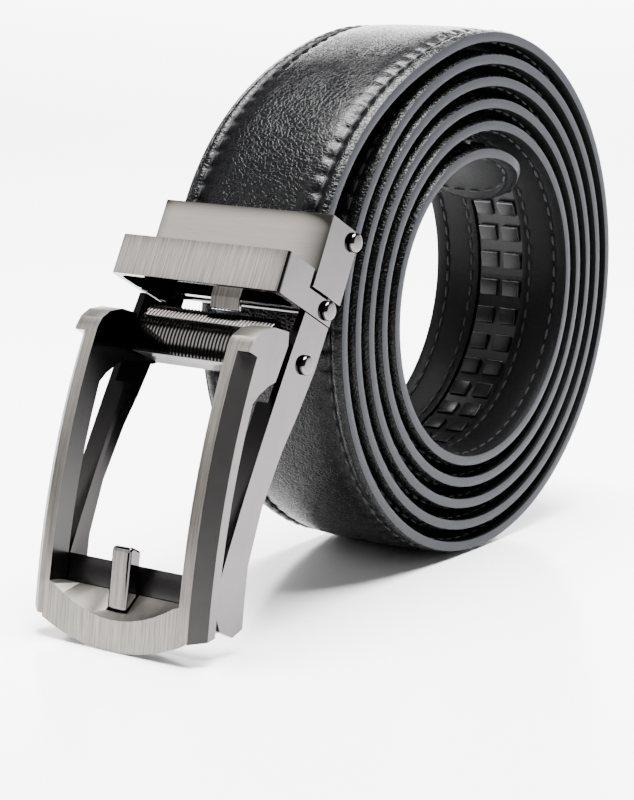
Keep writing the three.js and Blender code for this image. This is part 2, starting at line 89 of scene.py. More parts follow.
LEVER_PIN = (29.5 * MM, -5.0 * MM)
PIN_RADIUS = 1.25 * MM
HEAD_RADIUS = 2 * MM
HEAD_DEPTH = 0.9 * MM
HEAD_DOME = 0.72 * MM
ROLLER_HALF = 15.25 * MM
ROLLER_RADIUS = 8.8 * MM
ROLLER_HUB = 3.6 * MM
RIB_DEPTH = 0.34 * MM

# How the buckle leans outward at its foot
LEAN = math.radians(27.3)
FACE_NORMAL = Vector((0, -math.cos(LEAN), math.sin(LEAN)))
UP_STRAP = Vector((0, math.sin(LEAN), math.cos(LEAN)))

# Stitches and seams
TRACK_SEAM = 1.9 * MM            # from the groove's side to the seam beside it
TRACK_SEAM_LAP = 2.5 * MM        # how far that seam runs past the groove's ends
TRACK_SEAM_END = 2.6 * MM        # from the groove's ends to the seams across them
STITCH_REACH = 0.36              # half a stitch's length, as a share of its pitch
STITCH_HALF = 0.30 * MM          # half its width
STITCH_THICK = 0.26 * MM         # half its thickness
STITCH_ARCH = 0.10 * MM          # how far its middle lifts
STITCH_SUNK = {1: 0.08 * MM, -1: 0.02 * MM}   # on the padded side, and on the lining

# Places in a buckle plate's list of materials
REST, FRONT, SHADED_POLISH, FACET, BEVEL, RECESS_SHADE = range(6)


def middle(node):
    """The centre of a CAD node's box."""
    low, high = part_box(node)
    return (Vector(low) + Vector(high)) / 2


def turned(y, z):
    """Directions on the upright buckle, as they lie once it leans."""
    return y * math.cos(LEAN) + z * math.sin(LEAN), z * math.cos(LEAN) - y * math.sin(LEAN)


def buckle_origin():
    """The clamp's top front edge, found back from where the hinge pin lies."""
    pin = middle("hinge_pin")
    y, z = turned(-HINGE_PIN[1], -HINGE_PIN[0])
    return Vector((0, pin.y - y, pin.z - z))


BUCKLE = buckle_origin()
COIL_Y = BUCKLE.y + CLAMP_REACH
LOWEST_TURN = 0.75                   # the coil stands on its outer turn, this far round it
COIL_Z = (COIL_RADIUS - TURN_PITCH * LOWEST_TURN) * (1 - COIL_OVAL) + STRAP_EDGE + STRAP_CROWN


def on_buckle(x, down, out):
    """A place given across the strap, down from the clamp's top front edge, and out from its face."""
    y, z = turned(-out, -down)
    return Vector((x, BUCKLE.y + y, BUCKLE.z + z))


# Settings that a user would change

class BeltLeather(bpy.types.PropertyGroup):
    colour: FloatVectorProperty(
        name="Leather", description="Colour of the strap's leather", subtype="COLOR",
        size=3, min=0, max=1, default=(0.0022, 0.0022, 0.0025))
    edge_colour: FloatVectorProperty(
        name="Edge paint", description="Colour of the painted edges", subtype="COLOR",
        size=3, min=0, max=1, default=(0.0135, 0.0147, 0.019))
    thread_colour: FloatVectorProperty(
        name="Thread", description="Colour of the stitching", subtype="COLOR",
        size=3, min=0, max=1, default=(0.013, 0.013, 0.0145))
    stitch_pitch: FloatProperty(
        name="Stitch pitch", description="From one stitch to the next", subtype="DISTANCE",
        unit="LENGTH", min=0.001, default=3.9 * MM)
    stitch_inset: FloatProperty(
        name="Stitch inset", description="From the strap's edge to the stitching", subtype="DISTANCE",
        unit="LENGTH", min=0, default=3.1 * MM)
    grain: FloatProperty(
        name="Grain", description="Strength of the leather's grain", min=0, max=1, default=0.42)


class BeltMetal(bpy.types.PropertyGroup):
    brushed_colour: FloatVectorProperty(
        name="Brushed metal", description="Colour of the brushed faces", subtype="COLOR",
        size=3, min=0, max=1, default=(0.20, 0.187, 0.172))
    polished_colour: FloatVectorProperty(
        name="Polished metal", description="Colour of the polished faces", subtype="COLOR",
        size=3, min=0, max=1, default=(0.105, 0.099, 0.098))
    edge_round: FloatProperty(
        name="Edge rounding", description="Radius on the buckle's edges", subtype="DISTANCE",
        unit="LENGTH", min=0, default=0.18 * MM)
    ribs: IntProperty(
        name="Ribs", description="Rings on the ribbed bar", min=4, max=80, default=36)


class BeltStage(bpy.types.PropertyGroup):
    floor_colour: FloatVectorProperty(
        name="Floor", description="Colour of the floor and backdrop", subtype="COLOR",
        size=3, min=0, max=1, default=(0.88, 0.88, 0.885))
    key_power: FloatProperty(
        name="Key light", description="Power of the softbox above, which the backdrop's follows",
        subtype="POWER", unit="POWER", min=0, default=150)
    lens: FloatProperty(
        name="Lens", description="Focal length on a 36 mm high sensor", subtype="DISTANCE_CAMERA",
        min=10, default=102.15)


# Shader expressions

class Value:
    """A shader socket that takes part in arithmetic."""

    def __init__(self, tree, socket):
        self.tree = tree
        self.socket = socket

    def _math(self, operation, *others, clamp=False):
        node = self.tree.nodes.new("ShaderNodeMath")
        node.operation = operation
        node.use_clamp = clamp
        for place, item in zip(node.inputs, (self, *others)):
            plug(self.tree, place, item)
        return Value(self.tree, node.outputs[0])

    def __add__(self, other):
        return self._math("ADD", other)

    __radd__ = __add__

    def __sub__(self, other):
        return self._math("SUBTRACT", other)

    def __rsub__(self, other):
        return (self * -1) + other

    def __mul__(self, other):
        return self._math("MULTIPLY", other)

    __rmul__ = __mul__

    def __truediv__(self, other):
        return self._math("DIVIDE", other)

    def __rtruediv__(self, other):
        return (self ** -1) * other

    def __pow__(self, other):
        return self._math("POWER", other)

    def larger(self, other):
        return self._math("MAXIMUM", other)

    def sine(self):
        return self._math("SINE")

    def size(self):
        return self._math("ABSOLUTE")

    def clipped(self):
        return self._math("ADD", 0, clamp=True)

    def between(self, low, high):
        """0 below low, 1 above high and smooth between."""
        node = self.tree.nodes.new("ShaderNodeMapRange")
        node.interpolation_type = "SMOOTHSTEP"
        plug(self.tree, node.inputs["Value"], self)
        node.inputs["From Min"].default_value = low
        node.inputs["From Max"].default_value = high
        return Value(self.tree, node.outputs["Result"])


def plug(tree, socket, item):
    if isinstance(item, Value):
        tree.links.new(item.socket, socket)
    else:
        socket.default_value = item


class Paint:
    """A material under construction: coordinates, textures and the shader's own sockets."""

    def __init__(self, name):
        self.material = bpy.data.materials.new(name)
        self.material.use_nodes = True
        self.tree = self.material.node_tree
        self.shader = self.tree.nodes["Principled BSDF"]
        place = self.tree.nodes.new("ShaderNodeTexCoord")
        self.object = Value(self.tree, place.outputs["Object"])
        self.uv = Value(self.tree, place.outputs["UV"])

    def parts(self, vector):
        node = self.tree.nodes.new("ShaderNodeSeparateXYZ")
        plug(self.tree, node.inputs[0], vector)
        return [Value(self.tree, node.outputs[k]) for k in range(3)]

    def vector(self, x, y, z):
        node = self.tree.nodes.new("ShaderNodeCombineXYZ")
        for socket, item in zip(node.inputs, (x, y, z)):
            plug(self.tree, socket, item)
        return Value(self.tree, node.outputs[0])

    def noise(self, vector, scale, detail=2.0, rough=0.5, distortion=0.0):
        node = self.tree.nodes.new("ShaderNodeTexNoise")
        plug(self.tree, node.inputs["Vector"], vector)
        node.inputs["Scale"].default_value = scale
        node.inputs["Detail"].default_value = detail
        node.inputs["Roughness"].default_value = rough
        node.inputs["Distortion"].default_value = distortion
        return Value(self.tree, node.outputs["Fac"])

    def cells(self, vector, scale, feature):
        node = self.tree.nodes.new("ShaderNodeTexVoronoi")
        node.feature = feature
        plug(self.tree, node.inputs["Vector"], vector)
        node.inputs["Scale"].default_value = scale
        return Value(self.tree, node.outputs["Distance"])

    def mix(self, amount, first, second):
        node = self.tree.nodes.new("ShaderNodeMix")
        node.data_type = "RGBA"
        plug(self.tree, node.inputs[0], amount)
        plug(self.tree, node.inputs[6], (*first, 1) if isinstance(first, tuple) else first)
        plug(self.tree, node.inputs[7], (*second, 1) if isinstance(second, tuple) else second)
        return Value(self.tree, node.outputs[2])

    def bump(self, height, distance, strength=1.0):
        node = self.tree.nodes.new("ShaderNodeBump")
        node.inputs["Strength"].default_value = strength
        node.inputs["Distance"].default_value = distance
        plug(self.tree, node.inputs["Height"], height)
        self.tree.links.new(node.outputs[0], self.shader.inputs["Normal"])

    def set(self, **sockets):
        for name, item in sockets.items():
            plug(self.tree, self.shader.inputs[name.replace("_", " ")], item)
        return self.material


def shade(colour, factor):
    """A colour made darker or lighter, up to white."""
    return tuple(min(1.0, c * factor) for c in colour)


def leather_paint(name, outside, colour, grain, fine):
    """Grain cells joined by creases; the outside has puckers beside the stitches and more gloss."""
    leather = bpy.context.scene.belt_leather
    paint = Paint(name)
    u, v, _ = paint.parts(paint.uv)
    drift = paint.noise(paint.uv, 700 * fine, 3, 0.6) - 0.5
    sway = paint.noise(paint.uv, 150, 2) - 0.5
    spot = paint.vector(u * 1.15 + drift * (1.0 * MM) + sway * (3 * MM),
                        v * 0.9 + drift * (0.9 * MM) - sway * (2 * MM), 0)
    pebble = paint.cells(spot, 1500 * fine, "SMOOTH_F1")
    crease = paint.cells(spot, 1150 * fine, "DISTANCE_TO_EDGE")
    wrinkle = paint.noise(paint.vector(u * 1.6, v * 0.4, 0), 620, 3, 0.6, 0.8)
    pores = paint.noise(paint.uv, 5200 * fine, 3, 0.65)
    broad = paint.noise(paint.uv, 75, 3)
    inset = STRAP_HALF - v.size()
    shoulder = 1 - ((inset - 5.8 * MM) / (3.4 * MM)).size().between(0.3, 1)
    height = (0.8 - pebble) * 0.5 + crease.between(0, 0.18) * 0.5 + pores * 0.2 + wrinkle * 0.9
    height = height * (1 - shoulder * 0.5) + broad * 1.2
    seam = 1 - ((inset - leather.stitch_inset) / (0.75 * MM)).size().between(0.4, 1)
    matt, gloss = (0, 0.12) if outside else (0.2, 0.06)
    if outside:
        wave = ((u * (2 * math.pi / leather.stitch_pitch) + math.pi / 2).sine() * 0.5 + 0.5) ** 2
        near = 1 - ((inset - leather.stitch_inset * 1.35) / (1.6 * MM)).size().between(0.1, 1)
        height = height - wave * near
    paint.bump(height, grain * 0.22 * MM)
    patch = paint.noise(paint.uv, 900 * fine, 4, 0.7)
    tone = paint.mix(patch.between(0.35, 0.75), shade(colour, 0.7), shade(colour, 1.4))
    rough = 0.17 + matt + patch * 0.12 + (1 - crease.between(0, 0.12)) * 0.12 + seam * 0.4
    return paint.set(Base_Color=tone, Roughness=rough, Specular_IOR_Level=gloss)


def edge_paint():
    """Paint rolled on the cut edges, a little cloudy."""
    colour = tuple(bpy.context.scene.belt_leather.edge_colour)
    paint = Paint("edge_paint")
    cloud = paint.noise(paint.object, 240, 4, 0.6)
    paint.bump(paint.noise(paint.object, 900, 3), 0.06 * MM, 0.6)
    tone = paint.mix(cloud.between(0.3, 0.7), shade(colour, 0.85), shade(colour, 1.12))
    return paint.set(Base_Color=tone, Roughness=0.4 + cloud * 0.16, Specular_IOR_Level=0.15)


def thread_paint():
    """Twisted thread with a painted highlight on the crests of its plies."""
    colour = tuple(bpy.context.scene.belt_leather.thread_colour)
    paint = Paint("thread")
    x, y, z = paint.parts(paint.object)
    twist = ((x * 2.2 + y + z) * 9000).sine() * 0.5 + 0.5
    paint.bump(twist, 0.08 * MM)
    # painted highlight: the thread's colour is lighter on the crests of the twist
    tone = paint.mix(twist, shade(colour, 0.6), shade(colour, 1.6))
    return paint.set(Base_Color=tone, Roughness=0.5 + twist * 0.2, Specular_IOR_Level=0.15)


def track_paint(name, colour, gloss):
    """Moulded plastic with a fine speckle."""
    paint = Paint(name)
    speck = paint.noise(paint.object, 1800, 3)
    paint.bump(speck, 0.04 * MM, 0.6)
    tone = paint.mix(speck.between(0.3, 0.7), shade(colour, 0.7), shade(colour, 1.3))
    return paint.set(Base_Color=tone, Roughness=0.24 + speck * 0.12, Specular_IOR_Level=gloss)


# How fast hair lines change across, from front to back and up
DOWN_LINES = (2600, 70, 70)
CROSS_LINES = (90, 1900, 1900)
EVEN_GRAIN = (300, 300, 300)


def down_strap(y, z):
    """How far a point lies below the clamp's top front edge, along the strap."""
    return (BUCKLE.y - y) * math.sin(LEAN) + (BUCKLE.z - z) * math.cos(LEAN)


def brushed_paint(name, stretch, factor, rough, depth, plate=None):
    """Hair lines, slow along the axes where stretch is small; a plate gets painted shade toward its
    borders.

    The plate is given by its half width, its top and its bottom down the strap, and how strong that painted
    shade gets.
    """
    colour = shade(tuple(bpy.context.scene.belt_metal.brushed_colour), factor)
    paint = Paint(name)
    x, y, z = paint.parts(paint.object)
    lines = paint.noise(paint.vector(x * stretch[0], y * stretch[1], z * stretch[2]), 1, 5, 0.7)
    paint.bump(lines, 0.05 * MM, 0.6)
    tone = paint.mix(lines.between(0.3, 0.7), shade(colour, 1 - depth), shade(colour, 1 + 0.6 * depth))
    if plate:
        half, top, low, strength = plate
        down = down_strap(y, z)
        # painted shade: the colour darkens toward the plate's right, left, top and bottom borders
        right = ((x - (half - 10 * MM)) / (10 * MM)).clipped() ** 2
        left = (((3 * MM - half) - x) / (3 * MM)).clipped() ** 2 * 0.45
        above = (((top + 3.2 * MM) - down) / (3.2 * MM)).clipped() ** 2 * 0.9
        below = ((down - (low - 2.5 * MM)) / (2.5 * MM)).clipped() ** 2 * 0.35
        border_shade = (right + left + above + below).clipped() * strength
        tone = paint.mix(border_shade, tone, shade(colour, 0.06))
    return paint.set(Base_Color=tone, Roughness=rough + lines * 0.12, Metallic=1.0)


def shaded_polish_paint():
    """Polished metal with painted shade: darkest near the clamp and lighter toward the buckle's foot."""
    colour = tuple(bpy.context.scene.belt_metal.polished_colour)
    paint = Paint("shaded_polish_metal")
    _, y, z = paint.parts(paint.object)
    fade = down_strap(y, z).between(40 * MM, 92 * MM)
    tone = paint.mix(fade, shade(colour, 0.04), shade(colour, 0.6))
    return paint.set(Base_Color=tone, Roughness=0.16 + fade * 0.12, Metallic=1.0)


def polished_paint(name, factor=1.0, rough=0.06):
    """Polished metal with a faint smear."""
    colour = shade(tuple(bpy.context.scene.belt_metal.polished_colour), factor)
    paint = Paint(name)
    smear = paint.noise(paint.object, 130, 3, 0.6, 0.6)
    paint.bump(paint.noise(paint.object, 380, 2), 0.02 * MM, 0.25)
    tone = paint.mix(smear.between(0.3, 0.7), shade(colour, 0.94), shade(colour, 1.04))
    return paint.set(Base_Color=tone, Roughness=rough + smear * 0.05, Metallic=1.0)


MATERIALS = {}


def material(name):
    """Each material is made once, when a piece first asks for it."""
    if name not in MATERIALS:
        leather = tuple(bpy.context.scene.belt_leather.colour)
        grain = bpy.context.scene.belt_leather.grain
        makers = {
            "leather": lambda: leather_paint("leather", True, leather, grain, 1.0),
            "lining": lambda: leather_paint("lining", False, shade(leather, 0.9), grain * 0.6, 1.6),
            "edge": edge_paint,
            "thread": thread_paint,
            "track": lambda: track_paint("track_plastic", (0.0045, 0.0045, 0.005), 0.14),
            # light grey upper faces of the teeth: a painted highlight on the black plastic, with real gloss
            "ledge_highlight": lambda: track_paint("track_ledge_highlight", (0.32, 0.32, 0.33), 0.9),
            "brushed": lambda: brushed_paint("brushed_metal", DOWN_LINES, 1.05, 0.3, 0.4),
            # the keeper's and the clamp's metals carry painted shade toward their borders
            "brushed_keeper": lambda: brushed_paint(
                "keeper_metal", DOWN_LINES, 1.5, 0.3, 0.4, (21 * MM, 11.7 * MM, 20 * MM, 0.45)),
            "satin": lambda: brushed_paint(
                "satin_metal", CROSS_LINES, 1.35, 0.24, 0.08, (20.4 * MM, 0, 15 * MM, 1.0)),
            "facet": lambda: brushed_paint("facet_metal", EVEN_GRAIN, 0.3, 0.4, 0.1),
            # polished metal with painted shade, darkest near the clamp
            "shaded_polish": shaded_polish_paint,
            "bevel": lambda: polished_paint("bevel_metal", 0.42, 0.42),
            "polished": lambda: polished_paint("polished_metal"),
            # a darker polished metal for faces set back, turned inward or hidden: painted shade
            "recess_shade": lambda: polished_paint("recess_shade_metal", 0.55, 0.1),
        }
        MATERIALS[name] = makers[name]()
    return MATERIALS[name]


# Mesh helpers

def alone(obj):
    """Selects one object and nothing else."""
    bpy.ops.object.select_all(action="DESELECT")
    obj.select_set(True)
    bpy.context.view_layer.objects.active = obj


def join(parts, name):
    """Makes the parts one object, the first of them."""
    alone(parts[0])
    for part in parts:
        part.select_set(True)
    bpy.ops.object.join()
    parts[0].name = name


def piece(name, verts, faces, uvs=None, slots=(), indices=None):
    """A mesh object from its points and faces, with one material number for each face."""
    mesh = bpy.data.meshes.new(name)
    mesh.from_pydata([tuple(v) for v in verts], [], [tuple(f) for f in faces])
    for slot in slots:
        mesh.materials.append(material(slot))
    if indices is not None:
        mesh.polygons.foreach_set("material_index", np.asarray(indices, dtype=np.int32))
    if uvs is not None:
        layer = mesh.uv_layers.new(name="UVMap")
        loops = np.empty(len(mesh.loops), dtype=np.int32)
        mesh.loops.foreach_get("vertex_index", loops)
        layer.data.foreach_set("uv", np.asarray(uvs)[loops].ravel())
    mesh.update()
    obj = bpy.data.objects.new(name, mesh)
    bpy.context.collection.objects.link(obj)
    return obj


def take_shape(obj):
    """The points and faces of an object that is modelled once and repeated, which is then removed."""
    shape = np.array([v.co[:] for v in obj.data.vertices])
    faces = [tuple(p.vertices) for p in obj.data.polygons]
    bpy.data.objects.remove(obj)
    return shape, faces


def rows_to_faces(rows, columns, closed=True):
    """Quads over a grid of rows; each row is a closed ring unless closed is false."""
    faces = []
    last = columns if closed else columns - 1
    for r in range(rows - 1):
        for c in range(last):
            a = r * columns + c
            b = r * columns + (c + 1) % columns
            faces.append((a, b, b + columns, a + columns))
    return faces


def end_faces(rows, columns):
    """The two caps of a tube made of rows."""
    last = (rows - 1) * columns
    return [tuple(range(columns)), tuple(range(last + columns - 1, last - 1, -1))]


def face_out(obj):
    """Turns every face outward."""
    alone(obj)
    bpy.ops.object.mode_set(mode="EDIT")
    bpy.ops.mesh.select_all(action="SELECT")
    bpy.ops.mesh.normals_make_consistent(inside=False)
    bpy.ops.object.mode_set(mode="OBJECT")


def smooth(obj, angle):
    alone(obj)
    bpy.ops.object.shade_smooth_by_angle(angle=math.radians(angle))


def soften(obj, width, segments):
    """Rounds the edges sharper than 28 degrees and evens the shading."""
    alone(obj)
    bevel = obj.modifiers.new("Edges", "BEVEL")
    bevel.width = width
    bevel.segments = segments
    bevel.limit_method = "ANGLE"
    bevel.angle_limit = math.radians(28)
    bpy.ops.object.shade_smooth_by_angle(angle=math.radians(33))
    bpy.ops.object.modifier_apply(modifier=bevel.name)
    even = obj.modifiers.new("Even", "WEIGHTED_NORMAL")
    even.keep_sharp = True
    bpy.ops.object.modifier_apply(modifier=even.name)


def finish(obj, body, slot, *nodes):
    """Puts a piece on its body, in place of the nodes that it stands for; the slot is not used."""
    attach(obj, body)
    if nodes:
        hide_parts(*nodes)


# The strap's path, and its surface across and along it

def spiral(degrees):
    """The strap's middle on the coil, at an angle counted inward from the clamp's side."""
    turn = np.radians(degrees)
    loose = np.clip((degrees - DROOP_FROM) / (TIP_ANGLE - DROOP_FROM), 0, 1)
    round_radius = COIL_RADIUS - TURN_PITCH * degrees / 360 - TIP_DROOP * loose ** 2
    radius = round_radius * (1 + COIL_OVAL * np.cos(2 * turn))
    return np.stack([COIL_Y - radius * np.cos(turn), COIL_Z + radius * np.sin(turn)], axis=-1)


class Path:
    """The middle of the strap's thickness, from its end in the clamp to its tip."""

    def __init__(self):
        inset = CLAMP_INSET + STRAP_CROWN + STRAP_EDGE
        first, leaves = (on_buckle(0, down, -inset) for down in (10.7 * MM, -0.8 * MM))
        end, mouth = (np.array([p.y, p.z]) for p in (first, leaves))
        up = (mouth - end) / np.linalg.norm(mouth - end)
        join = spiral(np.float64(LEAD_ANGLE))
        onward = spiral(np.float64(LEAD_ANGLE + 1)) - spiral(np.float64(LEAD_ANGLE - 1))
        onward /= np.linalg.norm(onward)
        handle = 0.36 * np.linalg.norm(join - mouth)
        t = np.linspace(0, 1, 120)[:, None]
        one, two = mouth + up * handle, join - onward * handle
        lead = (1 - t) ** 3 * mouth + 3 * (1 - t) ** 2 * t * one + 3 * (1 - t) * t * t * two + t ** 3 * join
        angles = np.arange(LEAD_ANGLE, TIP_ANGLE + 0.01, 0.5)
        straight = np.linspace(end, mouth, 12)
        self.points = np.concatenate([straight[:-1], lead[:-1], spiral(angles)])
        steps = np.linalg.norm(np.diff(self.points, axis=0), axis=1)
        self.far = np.concatenate([[0], np.cumsum(steps)])
        self.length = self.far[-1]
        self.angle_far = (angles, self.far[-len(angles):])

    def at(self, far):
        """Place, direction and outward side at distances along the strap."""
        far = np.asarray(far, dtype=float)
        step = 0.4 * MM
        place = np.stack([np.interp(far, self.far, self.points[:, k]) for k in (0, 1)], axis=-1)
        low, high = np.clip(far - step, 0, self.length), np.clip(far + step, 0, self.length)
        a = np.stack([np.interp(low, self.far, self.points[:, k]) for k in (0, 1)], axis=-1)
        b = np.stack([np.interp(high, self.far, self.points[:, k]) for k in (0, 1)], axis=-1)
        along = b - a
        along /= np.linalg.norm(along, axis=-1, keepdims=True)
        out = np.stack([-along[..., 1], along[..., 0]], axis=-1)
        return place, along, out

    def reach(self, degrees):
        """Distance along the strap at an angle of the coil."""
        return float(np.interp(degrees, *self.angle_far))

    def half(self, far):
        """Half the strap's width, which narrows over the rounded tip."""
        share = np.clip((np.asarray(far) - (self.length - TIP_LENGTH)) / TIP_LENGTH, 0, 1)
        return STRAP_HALF * np.sqrt(np.clip(1 - share ** TIP_ROUND, 0, 1))


PATH = Path()


def bell(value, centre, width):
    return np.exp(-((value - centre) / width) ** 2)


def rise(value, low, high):
    """0 below low, 1 above high and smooth between."""
    t = np.clip((value - low) / (high - low), 0, 1)
    return t * t * (3 - 2 * t)


def outer_height(inset, far, pitch, line):
    """The padded side: a rolled bead at the edge, the sunk stitch line and the crown."""
    pull = (0.5 + 0.5 * np.cos(2 * math.pi * far / pitch)) ** 2
    swell = 1 - 0.45 * pull
    edge = -0.30 * MM * bell(inset, 0, 0.5 * MM)
    bead = 0.34 * MM * bell(inset, line - 1.5 * MM, 0.8 * MM) * swell
    sunk = -(0.22 * MM + 0.50 * MM * pull) * bell(inset, line, 0.5 * MM)
    pucker = -0.26 * MM * pull * bell(inset, line + 1.1 * MM, 1.1 * MM)
    shoulder = PADDING * (0.6 * rise(inset, line, line + 3.2 * MM) + 0.4 * rise(inset, line, line + 9 * MM))
    return STRAP_EDGE + edge + bead + sunk + pucker + shoulder


def inner_height(inset, x, far, line, track):
    """The lining side: stitch lines and the sunk channel of the track."""
    edge = 0.25 * MM * bell(inset, 0, 0.5 * MM)
    sunk = 0.16 * MM * bell(inset, line, 0.5 * MM)
    begin, end = track
    inside = (far > begin) & (far < end)
    seam = 0.14 * MM * bell(np.abs(x), GROOVE_HALF + TRACK_SEAM, 0.45 * MM)
    rim = -0.16 * MM * bell(np.abs(x), GROOVE_HALF + 0.7 * MM, 0.6 * MM)
    channel = GROOVE_DEPTH * (np.abs(x) < GROOVE_HALF)
    return -STRAP_EDGE + edge + sunk + np.where(inside, channel + seam + rim, 0)


def strap_stations():
    """Close together where the strap shows, wide where its turns hide it."""
    shown_out = PATH.reach(LEAD_ANGLE + 350)
    shown_in = PATH.reach(TIP_ANGLE - 420)
    return np.concatenate([
        np.arange(0, shown_out, 0.65 * MM),
        np.arange(shown_out, shown_in, 3.2 * MM),
        np.arange(shown_in, PATH.length - TIP_LENGTH, 1.0 * MM),
        PATH.length - TIP_LENGTH * (1 - np.sin(np.linspace(0, math.pi / 2, 26)[:-1])),
    ])


def track_span():
    """Where the groove for the track begins and ends along the strap."""
    return PATH.reach(TRACK_FROM), PATH.reach(TRACK_TO)


def strap_ring():
    """The strap's section, all the way round.

    Each point has its inset from the edge, which half it is on, its surface and, on an edge, its
    height as a share of half the thickness.
    """
    outer = np.array([0.12, 0.4, 0.8, 1.2, 1.6, 2.0, 2.4, 2.7, 2.95,
                      3.2, 3.5, 3.9, 4.4, 5.0, 6.0, 7.5, 10, 13.5]) * MM
    plain = np.array([0.12, 0.5, 1.2, 2.0, 2.7, 3.1, 3.6, 5.0, 7.0, 8.6]) * MM
    beside = STRAP_HALF - GROOVE_HALF + np.array([-2.3, -1.9, -1.3, -0.6, -0.02, 0.02]) * MM
    inner = np.concatenate([plain, beside, [14.0 * MM]])
    side = [(0.00, -0.86), (-0.07, -0.45), (-0.09, 0.0), (-0.07, 0.45), (0.00, 0.86)]
    ring = [(inset, -1, "leather", 0) for inset in outer]
    ring += [(STRAP_HALF, 1, "leather", 0)]
    ring += [(inset, 1, "leather", 0) for inset in outer[::-1]]
    ring += [(inset * MM, 1, "edge", share) for inset, share in side[::-1]]
    ring += [(inset, 1, "lining", 0) for inset in inner]
    ring += [(inset, -1, "lining", 0) for inset in inner[::-1]]
    ring += [(inset * MM, -1, "edge", share) for inset, share in side]
    return ring


class BELT_OT_strap(bpy.types.Operator):
    """Winds the padded leather strap from the clamp to its rounded tip"""
    bl_idname = "belt.strap"
    bl_label = "Strap"

    def execute(self, context):
        leather = context.scene.belt_leather
        pitch, line = leather.stitch_pitch, leather.stitch_inset
        stations = strap_stations()
        place, _, out = PATH.at(stations)
        half = PATH.half(stations)
        ring = strap_ring()
        columns = len(ring)
        verts = np.empty((len(stations), columns, 3))
        uvs = np.empty((len(stations), columns, 2))
        for c, (inset, sign, kind, share) in enumerate(ring):
            full = STRAP_HALF - inset
            x = sign * full * half / STRAP_HALF
            true_inset = np.minimum(half - np.abs(x), inset)
            if kind == "leather":
                height = outer_height(true_inset, stations, pitch, line)
            elif kind == "lining":
                height = inner_height(true_inset, sign * full, stations, line, track_span())
            else:
                height = np.full(len(stations), share * STRAP_EDGE)
            verts[:, c, 0] = x
            verts[:, c, 1:] = place + out * height[:, None]
            uvs[:, c, 0] = stations
            uvs[:, c, 1] = sign * full

        slots = ("leather", "edge", "lining")
        paint_edge = slots.index("edge")
        kinds = [row[2] for row in ring]
        across = [paint_edge if "edge" in pair else slots.index(pair[0])
                  for pair in zip(kinds, kinds[1:] + kinds[:1])]
        faces = rows_to_faces(len(stations), columns) + end_faces(len(stations), columns)
        indices = across * (len(stations) - 1) + [paint_edge, paint_edge]
        strap = piece("strap_leather", verts.reshape(-1, 3), faces, uvs.reshape(-1, 2), slots, indices)
        face_out(strap)
        smooth(strap, 50)
        finish(strap, "root", "leather", "strap")
        return {"FINISHED"}


def stitch_places(leather):
    """Where each stitch starts and ends: across the strap, along it, and which side it shows on."""
    pitch, line = leather.stitch_pitch, leather.stitch_inset
    begin, end = track_span()
    beside = GROOVE_HALF + TRACK_SEAM
    rows = []
    straight = PATH.length - TIP_LENGTH
    # Both edges show their stitches on both sides; the track's seams show on the lining
    for sign in (-1, 1):
        for k in range(int(straight / pitch)):
            far = k * pitch
            x = sign * (STRAP_HALF - line)
            rows.append(((x, far), (x, far + pitch), 1))
            rows.append(((x, far), (x, far + pitch), -1))
        for k in range(int((end - begin + 2 * TRACK_SEAM_LAP) / pitch)):
            far = begin - TRACK_SEAM_LAP + k * pitch
            x = sign * beside
            rows.append(((x, far), (x, far + pitch), -1))
    for far in (begin - TRACK_SEAM_END, end + TRACK_SEAM_END):
        count = round(2 * beside / pitch)
        step = 2 * beside / count
        for k in range(count):
            rows.append(((-beside + k * step, far), (-beside + (k + 1) * step, far), -1))

    # The row round the tip, cut into even stitches
    tip = []
    reach = TIP_LENGTH - line
    for turn in np.linspace(-90, 90, 200):
        share = math.cos(math.radians(turn))
        x = (STRAP_HALF - line) * math.copysign(abs(math.sin(math.radians(turn))) ** 0.8, turn)
        tip.append((x, straight + reach * share ** 0.87))
    steps = np.concatenate([[0], np.cumsum(np.linalg.norm(np.diff(tip, axis=0), axis=1))])
    marks = np.linspace(0, steps[-1], int(steps[-1] / pitch) + 1)
    spots = [tuple(np.interp(m, steps, np.array(tip)[:, k]) for k in (0, 1)) for m in marks]
    for one, two in zip(spots, spots[1:]):
        rows.append((one, two, -1))
        rows.append((one, two, 1))
    return rows


class BELT_OT_stitches(bpy.types.Operator):
    """Lays one modelled stitch along every seam of the strap"""
    bl_idname = "belt.stitches"
    bl_label = "Stitches"

    def execute(self, context):
        leather = context.scene.belt_leather
        bpy.ops.object.select_all(action="DESELECT")
        bpy.ops.mesh.primitive_uv_sphere_add(segments=6, ring_count=5, radius=1)
        shape, faces = take_shape(context.object)
        rows = stitch_places(leather)
        verts, all_faces = [], []
        for number, (one, two, side) in enumerate(rows):
            middle_far = (one[1] + two[1]) / 2
            middle_x = (one[0] + two[0]) / 2
            place, along, out = PATH.at(middle_far)
            run = np.array([two[0] - one[0], *(along * (two[1] - one[1]))])
            length = np.linalg.norm(run)
            run /= length
            up = np.array([0, *out]) * side
            wide = np.cross(run, up)
            centre = np.array([middle_x, *place]) + up * (STRAP_EDGE - STITCH_SUNK[side])
            body = (np.outer(shape[:, 2], run) * length * STITCH_REACH
                    + np.outer(shape[:, 0], wide) * STITCH_HALF + np.outer(shape[:, 1], up) * STITCH_THICK)
            lift = up * (1 - shape[:, 2:3] ** 2) * STITCH_ARCH
            verts.append(body + lift + centre)
            start = number * len(shape)
            all_faces += [tuple(i + start for i in f) for f in faces]
        thread = piece("stitches", np.concatenate(verts), all_faces, slots=("thread",))
        smooth(thread, 80)
        finish(thread, "root", "leather")
        return {"FINISHED"}


